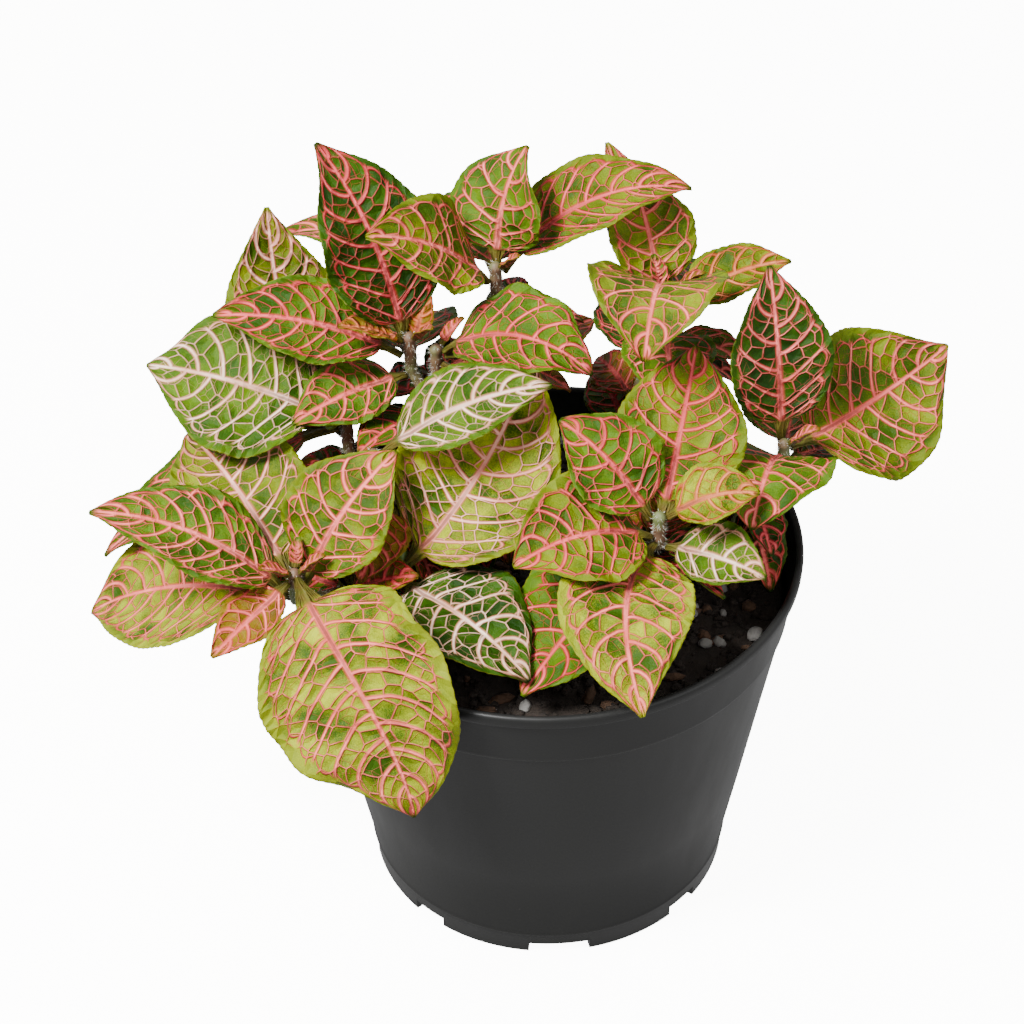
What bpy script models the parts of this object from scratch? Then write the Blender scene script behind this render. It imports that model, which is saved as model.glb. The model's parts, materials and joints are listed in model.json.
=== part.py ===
"""Potted nerve plant (Fittonia) in a 12 cm nursery pot.

Metres, +Z up. The origin is on the floor, under the middle of the whole plant.
Ten stems rise from the soil and carry broad oval leaves; nothing moves.
"""

import math
import random

import bmesh
import bpy
from mathutils import Vector
from mathutils.bvhtree import BVHTree

MM = 0.001

# Driving dimensions of the pot, in millimetres.
RIM_RADIUS = 60.0
POT_HEIGHT = 94.0
WALL = 1.2
LIP_HEIGHT = 3.0
COLLAR_HEIGHT = 15.5
FOOT_HEIGHT = 7.0
FLOOR_Z = 3.5
NOTCH_HEIGHT = 3.0
COLLAR_RADIUS = RIM_RADIUS - 2.8
FOOT_RADIUS = 0.742 * RIM_RADIUS
DRAIN_RADIUS = 3.0
DRAIN_RING = 26.0
DRAIN_COUNT = 6
DRAIN_TURN = 11.0
SEAT_GAP = 0.3

# Soil.
SOIL_TOP = POT_HEIGHT - 11.0

# Stems.
STEM_RADIUS = 1.6
STEM_STEPS = 9
STEM_SIDES = 8
STRAIGHT_TOP = 9.0

# Leaves.
LEAF_THICKNESS = 0.6
LEAF_ROWS = 8
LEAF_COLUMNS = 4
STALK_SHARE = 1 / LEAF_ROWS
STALK_HALF_WIDTH = 0.9
TIP_HALF_WIDTH = 0.5
NODE_STEP = 1.6
CLEARANCE = 0.45
RANDOM_SEED = 7

# Stem: where it leaves the soil (x, y) and where its tip is (x, y, z).
STEMS = {
    "a": ((-38, -16), (-56, -26, 109)),
    "b": ((-22, 18), (-30, 22, 138)),
    "c": ((-6, 26), (-10, 35, 148)),
    "d": ((20, 22), (29, 30, 142)),
    "e": ((20, -12), (25, -20, 118)),
    "f": ((42, 4), (55, 5, 118)),
    "g": ((-18, 8), (-24, 20, 136)),
    "h": ((-28, -18), (-35, -20, 103)),
    "i": ((-38, 8), (-45, 12, 122)),
    "j": ((-30, -4), (-38, -8, 128)),
}

# Leaf: stem, heading, rise, droop, roll, sweep (degrees), length, width (mm).
LEAVES = {
    "front_left_big": ("a", 290, 0, 85, 50, 40, 65, 45),
    "left_small_low": ("a", 225, -10, 10, -18, 0, 24, 13),
    "big_left_pale": ("i", 172, 30, 35, -30, -10, 47, 38),
    "left_broad": ("a", 122, 36, 45, -10, 0, 50, 31),
    "left_rising": ("a", 35, 55, 40, 20, 0, 38, 26),
    "left_pointing": ("a", 176, 52, 60, -25, 0, 50, 22),
    "left_low_broad": ("a", 165, 15, 40, -22, 0, 64, 35),
    "far_left_thin": ("i", 195, 0, 35, 5, 0, 66, 24),
    "left_small_right": ("a", 355, 35, 30, 10, 0, 19, 13),
    "young_left": ("b", 200, 45, 30, 0, 0, 17, 10),
    "young_right": ("b", 60, 65, 20, 0, 0, 12, 8),
    "tall_upright": ("b", 128, 80, 35, -20, 20, 52, 28),
    "left_spear": ("b", 178, 35, 40, -35, 0, 45, 21),
    "upper_left_cupped": ("i", 128, 10, -75, 0, -30, 58, 31),
    "arching_back_left": ("b", 95, 70, 110, 0, 90, 58, 15),
    "back_left_broad": ("b", 100, 0, 50, 0, 0, 44, 26),
    "inner_left_dark": ("b", 200, 0, 30, -20, 0, 30, 18),
    "left_hidden_dark": ("i", 130, 10, 30, 0, 0, 30, 18),
    "top_upright": ("c", 80, 85, 40, -10, -45, 29, 27),
    "top_long": ("c", 20, 55, 75, 15, -10, 51, 22),
    "top_left_reaching": ("c", 200, 68, 45, -30, 0, 38, 24),
    "back_high": ("c", 95, 25, 50, 0, 0, 42, 24),
    "top_right_folding": ("d", 258, 80, 140, 0, 0, 40, 32),
    "top_right_upright": ("d", 100, 75, 25, 0, 0, 32, 23),
    "top_right_pointing": ("d", 15, 40, 45, 20, 0, 30, 15),
    "top_back": ("d", 110, 60, 20, 0, 0, 42, 18),
    "back_right_broad": ("d", 60, 5, 50, 0, 0, 42, 24),
    "right_inner_upper": ("d", 270, 20, 50, 0, 0, 26, 22),
    "right_inner_brown": ("d", 330, 15, 40, 0, 0, 22, 10),
    "right_small_bright": ("e", 0, 48, 60, 25, 0, 22, 15),
    "right_oval": ("e", 148, 62, 45, -25, 0, 31, 23),
    "right_upper_broad": ("e", 55, 70, 30, 10, 10, 42, 30),
    "right_front_oval": ("e", 205, 40, 65, -25, 0, 36, 28),
    "front_pointed": ("e", 238, 15, 60, 0, 55, 48, 30),
    "right_low_small": ("e", 335, 15, 35, 20, 0, 24, 17),
    "front_inner_dark": ("e", 226, -5, 30, 0, 0, 45, 32),
    "front_small_red": ("e", 195, 10, 40, -10, 0, 28, 13),
    "right_dark_upright": ("f", 105, 85, 25, 0, 0, 42, 25),
    "right_big": ("f", 30, 5, -20, 50, 0, 46, 38),
    "right_drooping": ("f", 250, 60, 120, 0, 0, 31, 30),
    "back_right_low": ("f", 80, 10, 45, 0, 0, 40, 24),
    "right_side_low": ("f", 45, -5, 40, 0, 0, 34, 20),
    "centre_arching": ("g", 340, 50, 95, 15, 0, 40, 25),
    "centre_under": ("g", 0, 5, 50, 0, 0, 32, 18),
    "centre_dark": ("g", 320, -5, 35, 0, 0, 37, 18),
    "centre_top": ("j", 10, 40, 45, 25, 0, 42, 19),
    "centre_big": ("h", 20, 42, 0, 30, 45, 58, 37),
    "front_inner_pale": ("h", 320, 15, 50, 0, 0, 42, 30),
}


def clear_scene():
    for thing in list(bpy.data.objects):
        bpy.data.objects.remove(thing, do_unlink=True)
    for group in list(bpy.data.collections):
        bpy.data.collections.remove(group)


def make_collection(name):
    group = bpy.data.collections.new(name)
    bpy.context.scene.collection.children.link(group)
    return group


def make_material(name, colour, roughness):
    material = bpy.data.materials.new(name)
    material.use_nodes = True
    shader = material.node_tree.nodes["Principled BSDF"]
    shader.inputs["Base Color"].default_value = (*colour, 1.0)
    shader.inputs["Roughness"].default_value = roughness
    shader.inputs["Metallic"].default_value = 0.0
    return material


def add_object(name, group, points, faces, material):
    mesh = bpy.data.meshes.new(name)
    mesh.from_pydata([Vector(p) * MM for p in points], [], faces)
    shape = bmesh.new()
    shape.from_mesh(mesh)
    bmesh.ops.recalc_face_normals(shape, faces=shape.faces)
    shape.to_mesh(mesh)
    shape.free()
    thing = bpy.data.objects.new(name, mesh)
    group.objects.link(thing)
    if material is not None:
        thing.data.materials.append(material)
    return thing


# Pot and soil


def body_radius(z):
    """Outer radius of the tapering body between the foot ridge and the collar."""
    low = FOOT_HEIGHT
    high = POT_HEIGHT - COLLAR_HEIGHT
    share = (z - low) / (high - low)
    return FOOT_RADIUS + share * (COLLAR_RADIUS - 0.6 - FOOT_RADIUS)


def pot_profile():
    """Half section of the shell as (radius, height), starting on the axis."""
    collar = POT_HEIGHT - COLLAR_HEIGHT
    lip = POT_HEIGHT - LIP_HEIGHT
    inner_foot = FOOT_RADIUS - 0.6 - 2 * WALL
    return [
        (0, FLOOR_Z),
        (inner_foot, FLOOR_Z),
        (inner_foot, 0),
        (FOOT_RADIUS - 0.6, 0),
        (FOOT_RADIUS - 0.2, FOOT_HEIGHT - 0.5),
        (FOOT_RADIUS, FOOT_HEIGHT),
        (body_radius(collar), collar - 0.3),
        (COLLAR_RADIUS, collar),
        (RIM_RADIUS - 1.0, lip),
        (RIM_RADIUS - 0.2, lip + 0.3),
        (RIM_RADIUS, POT_HEIGHT - 1.2),
        (RIM_RADIUS - 0.9, POT_HEIGHT),
        (RIM_RADIUS - 1.9, POT_HEIGHT - 0.6),
        (COLLAR_RADIUS - WALL, collar),
        (body_radius(FLOOR_Z + 4) - WALL, FLOOR_Z + WALL + 2),
        (body_radius(FLOOR_Z + 4) - WALL - 1.5, FLOOR_Z + WALL),
        (0, FLOOR_Z + WALL),
    ]


def revolve(name, group, profile, material):
    """Object turned about the Z axis from an open profile that ends on the axis."""
    edges = [(i, i + 1) for i in range(len(profile) - 1)]
    mesh = bpy.data.meshes.new(name)
    mesh.from_pydata([(r * MM, 0, z * MM) for r, z in profile], edges, [])
    thing = bpy.data.objects.new(name, mesh)
    group.objects.link(thing)
    turn = thing.modifiers.new("turn", "SCREW")
    turn.steps = 56
    turn.render_steps = 56
    turn.use_merge_vertices = True
    turn.merge_threshold = 0.00001
    turn.use_normal_calculate = True
    mesh.materials.append(material)
    return thing


def cutter_box(name, group, angle, size):
    length, width, height = size
    reach = FOOT_RADIUS - 2.0
    points = []
    for z in (-1.0, height):
        for x in (reach - length / 2, reach + length / 2):
            for y in (-width / 2, width / 2):
                turned_x = x * math.cos(angle) - y * math.sin(angle)
                turned_y = x * math.sin(angle) + y * math.cos(angle)
                points.append((turned_x, turned_y, z))
    faces = [
        (0, 1, 3, 2),
        (4, 6, 7, 5),
        (0, 4, 5, 1),
        (2, 3, 7, 6),
        (0, 2, 6, 4),
        (1, 5, 7, 3),
    ]
    return add_object(name, group, points, faces, None)


def cutter_drain(name, group, angle):
    sides = 12
    centre = (DRAIN_RING * math.cos(angle), DRAIN_RING * math.sin(angle))
    points = []
    for z in (FLOOR_Z - 2, FLOOR_Z + WALL + 2):
        for i in range(sides):
            turn = math.tau * i / sides
            x = centre[0] + DRAIN_RADIUS * math.cos(turn)
            y = centre[1] + DRAIN_RADIUS * math.sin(turn)
            points.append((x, y, z))
    faces = [tuple(range(sides)), tuple(range(sides, 2 * sides))]
    for i in range(sides):
        j = (i + 1) % sides
        faces.append((i, j, sides + j, sides + i))
    return add_object(name, group, points, faces, None)


def cut(target, cutter):
    cutter.hide_render = True
    cutter.display_type = "WIRE"
    hole = target.modifiers.new(cutter.name, "BOOLEAN")
    hole.operation = "DIFFERENCE"
    hole.solver = "EXACT"
    hole.object = cutter


def make_pot(group, cutters):
    plastic = make_material("black_plastic", (0.012, 0.013, 0.014), 0.42)
    pot = revolve("pot", group, pot_profile(), plastic)
    # Wide and narrow foot notches take turns, one of them facing the front.
    for i in range(8):
        angle = math.radians(272 + 45 * i)
        width = 15.0 if i % 2 == 0 else 9.0
        size = (9.0, width, NOTCH_HEIGHT)
        cut(pot, cutter_box(f"notch_{i}", cutters, angle, size))
    for i in range(DRAIN_COUNT):
        angle = math.radians(DRAIN_TURN) + math.tau * i / DRAIN_COUNT
        cut(pot, cutter_drain(f"drain_{i}", cutters, angle))
    return pot


def make_soil(group):
    peat = make_material("peat", (0.028, 0.020, 0.015), 0.95)
    side = WALL + SEAT_GAP
    collar = POT_HEIGHT - COLLAR_HEIGHT
    low = FLOOR_Z + WALL + SEAT_GAP
    top_radius = COLLAR_RADIUS - side
    profile = [
        (0, low),
        (body_radius(FLOOR_Z + 4) - side - 2.0, low),
        (body_radius(FLOOR_Z + 4) - side - 0.3, low + 2.5),
        (top_radius - 0.2, collar),
        (top_radius, SOIL_TOP - 0.8),
        (top_radius - 1.5, SOIL_TOP),
        (0, SOIL_TOP),
    ]
    return revolve("soil", group, profile, peat)


# Stems


def stem_point(name, share):
    """Axis of a stem: upright at both ends and leaning out in between."""
    foot, tip = STEMS[name]
    start = Vector((foot[0], foot[1], SOIL_TOP + SEAT_GAP))
    end = Vector(tip)
    knee = end - Vector((0, 0, STRAIGHT_TOP))
    rise = knee.z - start.z
    bend_low = start + Vector((0, 0, 0.9 * rise + 4.0))
    bend_high = knee - Vector((0, 0, 0.15 * rise))
    if share > 0.7:
        return knee.lerp(end, (share - 0.7) / 0.3)
    t = share / 0.7
    s = 1 - t
    curve = s**3 * start + 3 * s * s * t * bend_low
    return curve + 3 * s * t * t * bend_high + t**3 * knee


def tube(axis, radius, sides):
    """Closed tube with level rings round a list of axis points."""
    points = []
    faces = []
    for centre in axis:
        for i in range(sides):
            turn = math.tau * i / sides
            offset = Vector((math.cos(turn), math.sin(turn), 0)) * radius
            points.append(centre + offset)
    for row in range(len(axis) - 1):
        for i in range(sides):
            j = (i + 1) % sides
            low = row * sides
            faces.append((low + i, low + j, low + sides + j, low + sides + i))
    last = (len(axis) - 1) * sides
    faces.append(tuple(reversed(range(sides))))
    faces.append(tuple(range(last, last + sides)))
    return points, faces


def stem_axis(name):
    return [stem_point(name, i / STEM_STEPS) for i in range(STEM_STEPS + 1)]


def stem_centre(name, z):
    """Axis point of a stem at a height."""
    axis = stem_axis(name)
    for low, high in zip(axis, axis[1:]):
        if low.z <= z <= high.z:
            return low.lerp(high, (z - low.z) / (high.z - low.z))
    return axis[-1]


def stem_shell(name):
    return tube(stem_axis(name), STEM_RADIUS, STEM_SIDES)


# Leaves


def half_width(share, width):
    """Half the blade's width at a share of the length: stalk, oval, pointed tip."""
    if share <= STALK_SHARE:
        return STALK_HALF_WIDTH
    t = (share - STALK_SHARE) / (1 - STALK_SHARE)
    oval = math.sin(math.pi * t**0.74) ** (0.62 + 0.45 * t)
    base = STALK_HALF_WIDTH * (1 - t) + TIP_HALF_WIDTH * t
    return base + (width / 2 - base) * oval


def leaf_frame(heading, elevation, roll):
    """Unit vectors along a leaf, to its left and out of its upper face."""
    side = Vector((-math.sin(heading), math.cos(heading), 0))
    level = Vector((math.cos(heading), math.sin(heading), 0))
    along = level * math.cos(elevation) + Vector((0, 0, math.sin(elevation)))
    up = along.cross(side)
    left = side * math.cos(roll) + up * math.sin(roll)
    return along, left, along.cross(left)


def midrib(start, shape, steps):
    """Points and frames along an arching midrib."""
    heading, rise, droop, roll, sweep = [math.radians(v) for v in shape[1:6]]
    length = shape[6]
    point = Vector(start)
    stations = []
    for i in range(steps + 1):
        share = i / steps
        turn = heading + sweep * share
        twist = roll * min(1.0, 2.5 * share)
        along, left, face = leaf_frame(turn, rise - droop * share, twist)
        stations.append((share, point.copy(), along, left, face))
        halfway = share + 0.5 / steps
        turn = heading + sweep * halfway
        step, _, _ = leaf_frame(turn, rise - droop * halfway, roll)
        point += step * (length / steps)
    return stations


def blade_point(station, across, width, lift):
    """Point of the blade; across runs from -1 to 1, the sides cup upwards."""
    share, point, _, left, face = station
    half = half_width(share, width)
    cup = 0.22 * half * across * across
    return point + left * (half * across) + face * (cup + lift)


def leaf_shell(start, shape, lift):
    """Closed shell of a leaf whose two faces lie lift to each side of its middle."""
    stations = midrib(start, shape, LEAF_ROWS)
    points = []
    faces = []
    columns = LEAF_COLUMNS + 1
    sheet = len(stations) * columns
    for side in (1, -1):
        for station in stations:
            for i in range(columns):
                across = 2 * i / LEAF_COLUMNS - 1
                points.append(blade_point(station, across, shape[7], side * lift))
    for row in range(LEAF_ROWS):
        for i in range(LEAF_COLUMNS):
            a = row * columns + i
            quad = (a, a + 1, a + columns + 1, a + columns)
            faces.append(quad)
            faces.append(tuple(sheet + v for v in reversed(quad)))
    edge = list(range(columns))
    edge += [row * columns + LEAF_COLUMNS for row in range(1, LEAF_ROWS + 1)]
    edge += [LEAF_ROWS * columns + i for i in range(LEAF_COLUMNS - 1, -1, -1)]
    edge += [row * columns for row in range(LEAF_ROWS - 1, 0, -1)]
    for i, first in enumerate(edge):
        second = edge[(i + 1) % len(edge)]
        faces.append((second, first, sheet + first, sheet + second))
    return points, faces


def leaf_start(shape, rank):
    """Where a leaf's stalk begins, just off its stem; each pair sits lower."""
    tip_height = STEMS[shape[0]][1][2]
    heading = math.radians(shape[1])
    lean = math.sin(math.radians(abs(shape[2])))
    reach = STEM_RADIUS + SEAT_GAP + lean * LEAF_THICKNESS / 2
    offset = Vector((math.cos(heading), math.sin(heading), 0)) * reach
    return stem_centre(shape[0], tip_height - 1.5 - NODE_STEP * rank) + offset


def tree_of(points, faces):
    return BVHTree.FromPolygons(points, faces, epsilon=0.0)


def clears_pot(points):
    for p in points:
        radius = math.hypot(p.x, p.y)
        if radius < RIM_RADIUS + 1.0 and p.z < SOIL_TOP + 1.0:
            return False
        over_rim = RIM_RADIUS - 3.5 < radius < RIM_RADIUS + 1.0
        if over_rim and p.z < POT_HEIGHT + 1.0:
            return False
    return True


def crosses(tree, others):
    return any(tree.overlap(other) for other in others)


def find_room(shape, rank, taken, stem_tree, dice):
    """Turn a leaf a little at a time until it touches nothing that has grown."""
    for attempt in range(400):
        spread = attempt / 8
        turned = list(shape)
        if attempt:
            turned[1] += dice.uniform(-spread, spread)
            turned[2] += dice.uniform(-spread, spread)
            turned[4] += dice.uniform(-spread, spread)
        start = leaf_start(turned, rank)
        lift = LEAF_THICKNESS / 2 + CLEARANCE
        roomy = turned[:6] + [turned[6] + CLEARANCE, turned[7] + 2 * CLEARANCE]
        points, faces = leaf_shell(start, roomy, lift)
        if not clears_pot(points):
            continue
        if crosses(tree_of(points, faces), taken):
            continue
        thin, thin_faces = leaf_shell(start, turned, LEAF_THICKNESS / 2 + 0.05)
        if crosses(tree_of(thin, thin_faces), [stem_tree]):
            continue
        return start, turned
    raise RuntimeError(f"no room for a leaf on stem {shape[0]}")


def grow_leaves():
    """Settle every leaf in turn and return its start and shape by name."""
    dice = random.Random(RANDOM_SEED)
    stems = {name: tree_of(*stem_shell(name)) for name in STEMS}
    ranks = {name: 0 for name in STEMS}
    grown = {}
    taken = []
    for name, shape in LEAVES.items():
        stem = shape[0]
        rank = ranks[stem]
        ranks[stem] += 1
        others = taken + [tree for key, tree in stems.items() if key != stem]
        start, settled = find_room(shape, rank, others, stems[stem], dice)
        grown[name] = (start, settled)
        taken.append(tree_of(*leaf_shell(start, settled, LEAF_THICKNESS / 2)))
    return grown


LEAF_GREENS = {
    "dark": (0.045, 0.105, 0.030),
    "olive": (0.150, 0.230, 0.040),
    "lime": (0.260, 0.330, 0.050),
    "young": (0.420, 0.200, 0.060),
}


def leaf_colour(name, length):
    if length < 24:
        return LEAF_GREENS["young"]
    if "dark" in name or "back" in name or "low" in name:
        return LEAF_GREENS["dark"]
    if "big" in name or "oval" in name:
        return LEAF_GREENS["lime"]
    return LEAF_GREENS["olive"]


def centre_on_floor(things):
    """Move everything so that the origin is the bottom centre of its bounds."""
    bpy.context.view_layer.update()
    corners = [t.matrix_world @ Vector(c) for t in things for c in t.bound_box]
    middle_x = (min(c.x for c in corners) + max(c.x for c in corners)) / 2
    middle_y = (min(c.y for c in corners) + max(c.y for c in corners)) / 2
    for thing in bpy.data.objects:
        thing.location.x -= middle_x
        thing.location.y -= middle_y


def main():
    clear_scene()
    parts = make_collection("potted_nerve_plant")
    cutters = make_collection("cutters")
    things = [make_pot(parts, cutters), make_soil(parts)]
    green = make_material("stem_green", (0.170, 0.200, 0.070), 0.6)
    for name in STEMS:
        points, faces = stem_shell(name)
        things.append(add_object(f"stem_{name}", parts, points, faces, green.copy()))
    for name, (start, shape) in grow_leaves().items():
        points, faces = leaf_shell(start, shape, LEAF_THICKNESS / 2)
        tint = make_material(f"leaf_{name}", leaf_colour(name, shape[6]), 0.5)
        things.append(add_object(f"leaf_{name}", parts, points, faces, tint))
    centre_on_floor(things)


main()
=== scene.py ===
"""Looks of the potted nerve plant (Fittonia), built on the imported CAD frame.

Leaves grow from the same table and rules as the CAD solids, at a finer grain,
with sunken veins, quilted cells and a crinkled edge. Lengths in the tables are
millimetres from the pot's axis; objects are in metres.
"""

import json
import math
import random

import bmesh
import bpy
import numpy as np
from mathutils import Matrix, Vector, noise
from mathutils.bvhtree import BVHTree


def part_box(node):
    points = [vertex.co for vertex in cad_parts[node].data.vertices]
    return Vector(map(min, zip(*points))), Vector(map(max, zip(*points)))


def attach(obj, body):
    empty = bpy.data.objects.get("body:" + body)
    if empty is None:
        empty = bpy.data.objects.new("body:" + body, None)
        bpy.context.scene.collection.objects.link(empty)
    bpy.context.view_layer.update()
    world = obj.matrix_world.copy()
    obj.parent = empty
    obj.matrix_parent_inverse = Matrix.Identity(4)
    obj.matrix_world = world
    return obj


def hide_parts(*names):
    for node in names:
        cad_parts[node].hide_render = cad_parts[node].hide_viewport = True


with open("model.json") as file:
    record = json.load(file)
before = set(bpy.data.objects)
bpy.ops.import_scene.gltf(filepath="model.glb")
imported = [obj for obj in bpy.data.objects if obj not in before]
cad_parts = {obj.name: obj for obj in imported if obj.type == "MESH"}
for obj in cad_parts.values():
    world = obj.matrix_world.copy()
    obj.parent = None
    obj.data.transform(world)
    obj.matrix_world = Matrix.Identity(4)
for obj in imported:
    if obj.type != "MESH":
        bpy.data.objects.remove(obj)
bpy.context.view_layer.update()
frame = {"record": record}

MM = 0.001
POT_LOW, POT_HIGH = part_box("pot")
POT_AXIS = Vector(((POT_LOW.x + POT_HIGH.x) / 2, (POT_LOW.y + POT_HIGH.y) / 2, 0))
SHOWN = bpy.data.collections.new("potted_nerve_plant_looks")
bpy.context.scene.collection.children.link(SHOWN)

# Camera: millimetres from the pot's axis, and degrees.
CAMERA_TARGET = (-7.5, 0.0, 102.5)
CAMERA_DISTANCE = 599.0
CAMERA_PITCH = 39.7
CAMERA_ROLL = -1.3
CAMERA_LENS = 91.4

# Light: where a lamp stands (metres from the pot's foot), its size and energy.
KEY_LAMP = ((-0.50, -0.35, 0.95), 0.30, 33.0)
FILL_LAMP = ((0.7, -0.6, 0.6), 0.8, 4.0)
SKY_STRENGTH = 0.75
FLOOR_GLOW = 11.0

# Pot, in millimetres, with the same driving dimensions as the CAD.
RIM_RADIUS = 60.0
POT_HEIGHT = 94.0
WALL = 1.2
LIP_HEIGHT = 3.0
COLLAR_HEIGHT = 15.5
FOOT_HEIGHT = 7.0
FLOOR_Z = 3.5
NOTCH_HEIGHT = 3.0
COLLAR_RADIUS = RIM_RADIUS - 2.8
FOOT_RADIUS = 0.742 * RIM_RADIUS
DRAIN_RADIUS = 3.0
DRAIN_RING = 26.0
DRAIN_COUNT = 6
DRAIN_TURN = 11.0
NOTCH_COUNT = 8
NOTCH_TURN = 272.0
NOTCH_HALF_WIDTHS = (7.5, 4.5)
SEAT_GAP = 0.3
SOIL_TOP = POT_HEIGHT - 11.0
STREWN_RADIUS = 53.0

# Stems and leaves, as in the CAD.
STEM_RADIUS = 1.6
STEM_STEPS = 9
STEM_SIDES = 8
STRAIGHT_TOP = 9.0
STALK_STEPS = 60
HAIRS_PER_STEM = 420
LEAF_THICKNESS = 0.6
LEAF_ROWS = 8
LEAF_COLUMNS = 4
CUP = 0.22
STALK_SHARE = 1 / LEAF_ROWS
STALK_HALF_WIDTH = 0.9
TIP_HALF_WIDTH = 0.5
NODE_STEP = 1.6
CLEARANCE = 0.45
RANDOM_SEED = 7

# Stem: where it leaves the soil (x, y) and where its tip is (x, y, z).
STEMS = {
    "a": ((-38, -16), (-56, -26, 109)),
    "b": ((-22, 18), (-30, 22, 138)),
    "c": ((-6, 26), (-10, 35, 148)),
    "d": ((20, 22), (29, 30, 142)),
    "e": ((20, -12), (25, -20, 118)),
    "f": ((42, 4), (55, 5, 118)),
    "g": ((-18, 8), (-24, 20, 136)),
    "h": ((-28, -18), (-35, -20, 103)),
    "i": ((-38, 8), (-45, 12, 122)),
    "j": ((-30, -4), (-38, -8, 128)),
}

# Leaf: stem, heading, rise, droop, roll, sweep (degrees), length, width (mm),
# and, unless it has the default look, green, vein colour and reach of the fine
# net (0 to 1).
LEAVES = {
    "front_left_big": ("a", 290, 0, 85, 50, 40, 65, 45, "lime", "pink", 0.9),
    "left_small_low": ("a", 225, -10, 10, -18, 0, 24, 13, "rust", "pink", 0.8),
    "big_left_pale": ("i", 172, 30, 35, -30, -10, 47, 38, "leaf", "white", 0.6),
    "left_broad": ("a", 122, 36, 45, -10, 0, 50, 31, "olive", "blush", 0.7),
    "left_rising": ("a", 35, 55, 40, 20, 0, 38, 26, "olive", "pink", 0.8),
    "left_pointing": ("a", 176, 52, 60, -25, 0, 50, 22, "leaf", "pink", 0.8),
    "left_low_broad": ("a", 165, 15, 40, -22, 0, 64, 35, "lime", "pink", 0.9),
    "far_left_thin": ("i", 195, 0, 35, 5, 0, 66, 24),
    "left_small_right": ("a", 355, 35, 30, 10, 0, 19, 13, "rust", "hot", 0.8),
    "young_left": ("b", 200, 45, 30, 0, 0, 17, 10, "rust", "amber", 0.5),
    "young_right": ("b", 60, 65, 20, 0, 0, 12, 8, "rust", "amber", 0.5),
    "tall_upright": ("b", 128, 80, 35, -20, 20, 52, 28, "deep", "hot", 0.6),
    "left_spear": ("b", 178, 35, 40, -35, 0, 45, 21, "leaf", "hot", 0.7),
    "upper_left_cupped": ("i", 128, 10, -75, 0, -30, 58, 31, "olive", "blush", 0.6),
    "arching_back_left": ("b", 95, 70, 110, 0, 90, 58, 15),
    "back_left_broad": ("b", 100, 0, 50, 0, 0, 44, 26),
    "inner_left_dark": ("b", 200, 0, 30, -20, 0, 30, 18),
    "left_hidden_dark": ("i", 130, 10, 30, 0, 0, 30, 18),
    "top_upright": ("c", 80, 85, 40, -10, -45, 29, 27, "leaf", "pink", 0.8),
    "top_long": ("c", 20, 55, 75, 15, -10, 51, 22, "olive", "hot", 0.9),
    "top_left_reaching": ("c", 200, 68, 45, -30, 0, 38, 24, "olive", "pink", 0.8),
    "back_high": ("c", 95, 25, 50, 0, 0, 42, 24),
    "top_right_folding": ("d", 258, 80, 140, 0, 0, 40, 32, "olive", "pink", 0.7),
    "top_right_upright": ("d", 100, 75, 25, 0, 0, 32, 23, "olive", "pink", 0.7),
    "top_right_pointing": ("d", 15, 40, 45, 20, 0, 30, 15, "olive", "amber", 0.7),
    "top_back": ("d", 110, 60, 20, 0, 0, 42, 18, "olive", "pink", 0.8),
    "back_right_broad": ("d", 60, 5, 50, 0, 0, 42, 24),
    "right_inner_upper": ("d", 270, 20, 50, 0, 0, 26, 22),
    "right_inner_brown": ("d", 330, 15, 40, 0, 0, 22, 10),
    "right_small_bright": ("e", 0, 48, 60, 25, 0, 22, 15, "lime", "amber", 0.5),
    "right_oval": ("e", 148, 62, 45, -25, 0, 31, 23, "leaf", "hot", 0.9),
    "right_upper_broad": ("e", 55, 70, 30, 10, 10, 42, 30, "olive", "hot", 0.8),
    "right_front_oval": ("e", 205, 40, 65, -25, 0, 36, 28, "olive", "hot", 0.9),
    "front_pointed": ("e", 238, 15, 60, 0, 55, 48, 30, "lime", "pink", 0.7),
    "right_low_small": ("e", 335, 15, 35, 20, 0, 24, 17, "leaf", "white", 0.6),
    "front_inner_dark": ("e", 226, -5, 30, 0, 0, 45, 32, "leaf", "hot", 0.7),
    "front_small_red": ("e", 195, 10, 40, -10, 0, 28, 13, "olive", "hot", 0.8),
    "right_dark_upright": ("f", 105, 85, 25, 0, 0, 42, 25, "deep", "pink", 0.9),
    "right_big": ("f", 30, 5, -20, 50, 0, 46, 38, "olive", "pink", 0.9),
    "right_drooping": ("f", 250, 60, 120, 0, 0, 31, 30, "leaf", "pink", 0.7),
    "back_right_low": ("f", 80, 10, 45, 0, 0, 40, 24),
    "right_side_low": ("f", 45, -5, 40, 0, 0, 34, 20),
    "centre_arching": ("g", 340, 50, 95, 15, 0, 40, 25, "leaf", "hot", 0.9),
    "centre_under": ("g", 0, 5, 50, 0, 0, 32, 18, "rust", "pink", 0.7),
    "centre_dark": ("g", 320, -5, 35, 0, 0, 37, 18, "deep", "hot", 0.7),
    "centre_top": ("j", 10, 40, 45, 25, 0, 42, 19, "leaf", "white", 0.6),
    "centre_big": ("h", 20, 42, 0, 30, 45, 58, 37, "lime", "blush", 1.0),
    "front_inner_pale": ("h", 320, 15, 50, 0, 0, 42, 30, "deep", "white", 0.8),
}


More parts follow.
